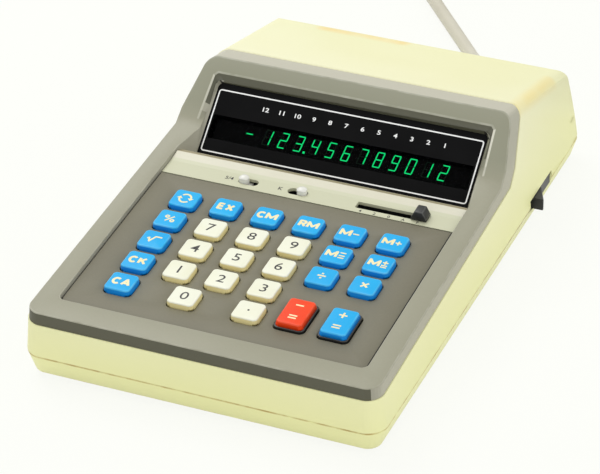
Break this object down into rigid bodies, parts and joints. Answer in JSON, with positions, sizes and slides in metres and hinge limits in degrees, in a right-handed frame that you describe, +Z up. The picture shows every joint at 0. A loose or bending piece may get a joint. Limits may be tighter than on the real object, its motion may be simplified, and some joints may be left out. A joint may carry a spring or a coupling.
{
  "type": "desktop calculator",
  "caption": "Mains-powered desktop calculator with a wedge-shaped two-tone case, sloped keyboard, hooded tube display, slide switches, side power rocker and a coiled mains lead.",
  "frame": {"origin": "on the table under the middle of the object, rocker included and mains lead left out", "axes": "+Z up, the front edge of the keyboard towards -Y, the power rocker towards +X"},
  "size_m": [0.2115, 0.4778, 0.0621],
  "materials": {
    "cream_plastic": "fine texture, slightly yellowed",
    "grey_plastic": "fine texture, satin",
    "olive_panel": "matt paint film",
    "ivory_strip": "satin, silvery ivory",
    "smoked_window": "polished smoked acrylic",
    "tube_glass": "clear glass over a dark grid",
    "circuit_board": "varnished laminate",
    "chip_plastic": "moulded",
    "frame_plastic": "moulded",
    "steel": "plated",
    "blue_key_plastic": "satin gloss",
    "ivory_key_plastic": "satin gloss",
    "red_key_plastic": "satin gloss",
    "black_plastic": "satin",
    "white_knob_plastic": "polished",
    "copper_winding": "enamelled wire under varnished tape",
    "black_rubber": "matt",
    "cord_vinyl": "smooth soft vinyl"
  },
  "bodies": {
    "case": {"bottom_cover": "cream_plastic", "upper_case": "cream_plastic", "bezel": "grey_plastic", "key_panel": "olive_panel", "control_strip": "ivory_strip", "display_window": "smoked_window", "display_tube": "tube_glass", "display_board": "circuit_board", "main_board": "circuit_board", "logic_chips": "chip_plastic", "key_frame": "frame_plastic", "contact_board": "circuit_board", "contact_leaves": "steel", "slide_switches": "black_plastic", "decimal_switch": "black_plastic", "power_switch": "black_plastic", "transformer_core": "steel", "transformer_coil": "copper_winding", "feet": "black_rubber", "case_screws": "steel", "strain_relief": "black_rubber", "mains_cord": "cord_vinyl", "cord_coil": "cord_vinyl", "cord_tie": "black_plastic", "mains_plug": "black_plastic"},
    "key_cycle": {"key_cycle": "blue_key_plastic"},
    "key_exchange": {"key_exchange": "blue_key_plastic"},
    "key_memory_clear": {"key_memory_clear": "blue_key_plastic"},
    "key_memory_recall": {"key_memory_recall": "blue_key_plastic"},
    "key_memory_minus": {"key_memory_minus": "blue_key_plastic"},
    "key_memory_plus": {"key_memory_plus": "blue_key_plastic"},
    "key_percent": {"key_percent": "blue_key_plastic"},
    "key_7": {"key_7": "ivory_key_plastic"},
    "key_8": {"key_8": "ivory_key_plastic"},
    "key_9": {"key_9": "ivory_key_plastic"},
    "key_memory_minus_equals": {"key_memory_minus_equals": "blue_key_plastic"},
    "key_memory_plus_equals": {"key_memory_plus_equals": "blue_key_plastic"},
    "key_square_root": {"key_square_root": "blue_key_plastic"},
    "key_4": {"key_4": "ivory_key_plastic"},
    "key_5": {"key_5": "ivory_key_plastic"},
    "key_6": {"key_6": "ivory_key_plastic"},
    "key_divide": {"key_divide": "blue_key_plastic"},
    "key_multiply": {"key_multiply": "blue_key_plastic"},
    "key_clear_entry": {"key_clear_entry": "blue_key_plastic"},
    "key_1": {"key_1": "ivory_key_plastic"},
    "key_2": {"key_2": "ivory_key_plastic"},
    "key_3": {"key_3": "ivory_key_plastic"},
    "key_clear_all": {"key_clear_all": "blue_key_plastic"},
    "key_0": {"key_0": "ivory_key_plastic"},
    "key_point": {"key_point": "ivory_key_plastic"},
    "key_minus_equals": {"key_minus_equals": "red_key_plastic", "minus_key_skirt": "black_plastic"},
    "key_plus_equals": {"key_plus_equals": "blue_key_plastic", "plus_key_skirt": "black_plastic"},
    "rounding_knob": {"rounding_knob": "white_knob_plastic"},
    "constant_knob": {"constant_knob": "white_knob_plastic"},
    "decimal_knob": {"decimal_knob": "black_plastic"},
    "power_rocker": {"power_rocker": "black_plastic"}
  },
  "joints": [
    {"name": "key_cycle_press", "type": "slide", "parent": "case", "child": "key_cycle", "axis": [0, 0.0523, -0.9986], "range_m": [0, 0.0025], "stiffness_N_per_m": 200},
    {"name": "key_exchange_press", "type": "slide", "parent": "case", "child": "key_exchange", "axis": [0, 0.0523, -0.9986], "range_m": [0, 0.0025], "stiffness_N_per_m": 200},
    {"name": "key_memory_clear_press", "type": "slide", "parent": "case", "child": "key_memory_clear", "axis": [0, 0.0523, -0.9986], "range_m": [0, 0.0025], "stiffness_N_per_m": 200},
    {"name": "key_memory_recall_press", "type": "slide", "parent": "case", "child": "key_memory_recall", "axis": [0, 0.0523, -0.9986], "range_m": [0, 0.0025], "stiffness_N_per_m": 200},
    {"name": "key_memory_minus_press", "type": "slide", "parent": "case", "child": "key_memory_minus", "axis": [0, 0.0523, -0.9986], "range_m": [0, 0.0025], "stiffness_N_per_m": 200},
    {"name": "key_memory_plus_press", "type": "slide", "parent": "case", "child": "key_memory_plus", "axis": [0, 0.0523, -0.9986], "range_m": [0, 0.0025], "stiffness_N_per_m": 200},
    {"name": "key_percent_press", "type": "slide", "parent": "case", "child": "key_percent", "axis": [0, 0.0523, -0.9986], "range_m": [0, 0.0025], "stiffness_N_per_m": 200},
    {"name": "key_7_press", "type": "slide", "parent": "case", "child": "key_7", "axis": [0, 0.0523, -0.9986], "range_m": [0, 0.0025], "stiffness_N_per_m": 200},
    {"name": "key_8_press", "type": "slide", "parent": "case", "child": "key_8", "axis": [0, 0.0523, -0.9986], "range_m": [0, 0.0025], "stiffness_N_per_m": 200},
    {"name": "key_9_press", "type": "slide", "parent": "case", "child": "key_9", "axis": [0, 0.0523, -0.9986], "range_m": [0, 0.0025], "stiffness_N_per_m": 200},
    {"name": "key_memory_minus_equals_press", "type": "slide", "parent": "case", "child": "key_memory_minus_equals", "axis": [0, 0.0523, -0.9986], "range_m": [0, 0.0025], "stiffness_N_per_m": 200},
    {"name": "key_memory_plus_equals_press", "type": "slide", "parent": "case", "child": "key_memory_plus_equals", "axis": [0, 0.0523, -0.9986], "range_m": [0, 0.0025], "stiffness_N_per_m": 200},
    {"name": "key_square_root_press", "type": "slide", "parent": "case", "child": "key_square_root", "axis": [0, 0.0523, -0.9986], "range_m": [0, 0.0025], "stiffness_N_per_m": 200},
    {"name": "key_4_press", "type": "slide", "parent": "case", "child": "key_4", "axis": [0, 0.0523, -0.9986], "range_m": [0, 0.0025], "stiffness_N_per_m": 200},
    {"name": "key_5_press", "type": "slide", "parent": "case", "child": "key_5", "axis": [0, 0.0523, -0.9986], "range_m": [0, 0.0025], "stiffness_N_per_m": 200},
    {"name": "key_6_press", "type": "slide", "parent": "case", "child": "key_6", "axis": [0, 0.0523, -0.9986], "range_m": [0, 0.0025], "stiffness_N_per_m": 200},
    {"name": "key_divide_press", "type": "slide", "parent": "case", "child": "key_divide", "axis": [0, 0.0523, -0.9986], "range_m": [0, 0.0025], "stiffness_N_per_m": 200},
    {"name": "key_multiply_press", "type": "slide", "parent": "case", "child": "key_multiply", "axis": [0, 0.0523, -0.9986], "range_m": [0, 0.0025], "stiffness_N_per_m": 200},
    {"name": "key_clear_entry_press", "type": "slide", "parent": "case", "child": "key_clear_entry", "axis": [0, 0.0523, -0.9986], "range_m": [0, 0.0025], "stiffness_N_per_m": 200},
    {"name": "key_1_press", "type": "slide", "parent": "case", "child": "key_1", "axis": [0, 0.0523, -0.9986], "range_m": [0, 0.0025], "stiffness_N_per_m": 200},
    {"name": "key_2_press", "type": "slide", "parent": "case", "child": "key_2", "axis": [0, 0.0523, -0.9986], "range_m": [0, 0.0025], "stiffness_N_per_m": 200},
    {"name": "key_3_press", "type": "slide", "parent": "case", "child": "key_3", "axis": [0, 0.0523, -0.9986], "range_m": [0, 0.0025], "stiffness_N_per_m": 200},
    {"name": "key_clear_all_press", "type": "slide", "parent": "case", "child": "key_clear_all", "axis": [0, 0.0523, -0.9986], "range_m": [0, 0.0025], "stiffness_N_per_m": 200},
    {"name": "key_0_press", "type": "slide", "parent": "case", "child": "key_0", "axis": [0, 0.0523, -0.9986], "range_m": [0, 0.0025], "stiffness_N_per_m": 200},
    {"name": "key_point_press", "type": "slide", "parent": "case", "child": "key_point", "axis": [0, 0.0523, -0.9986], "range_m": [0, 0.0025], "stiffness_N_per_m": 200},
    {"name": "key_minus_equals_press", "type": "slide", "parent": "case", "child": "key_minus_equals", "axis": [0, 0.0523, -0.9986], "range_m": [0, 0.0025], "stiffness_N_per_m": 200},
    {"name": "key_plus_equals_press", "type": "slide", "parent": "case", "child": "key_plus_equals", "axis": [0, 0.0523, -0.9986], "range_m": [0, 0.0025], "stiffness_N_per_m": 200},
    {"name": "rounding_slide", "type": "slide", "parent": "case", "child": "rounding_knob", "axis": [1, 0, 0], "range_m": [0, 0.004]},
    {"name": "constant_slide", "type": "slide", "parent": "case", "child": "constant_knob", "axis": [1, 0, 0], "range_m": [-0.004, 0]},
    {"name": "decimal_slide", "type": "slide", "parent": "case", "child": "decimal_knob", "axis": [1, 0, 0], "range_m": [-0.026, 0]},
    {"name": "power_rock", "type": "hinge", "parent": "case", "child": "power_rocker", "pos_m": [0.0703, 0.0684, 0.0123], "axis": [0, 0, 1], "range_deg": [-24, 0]}
  ]
}
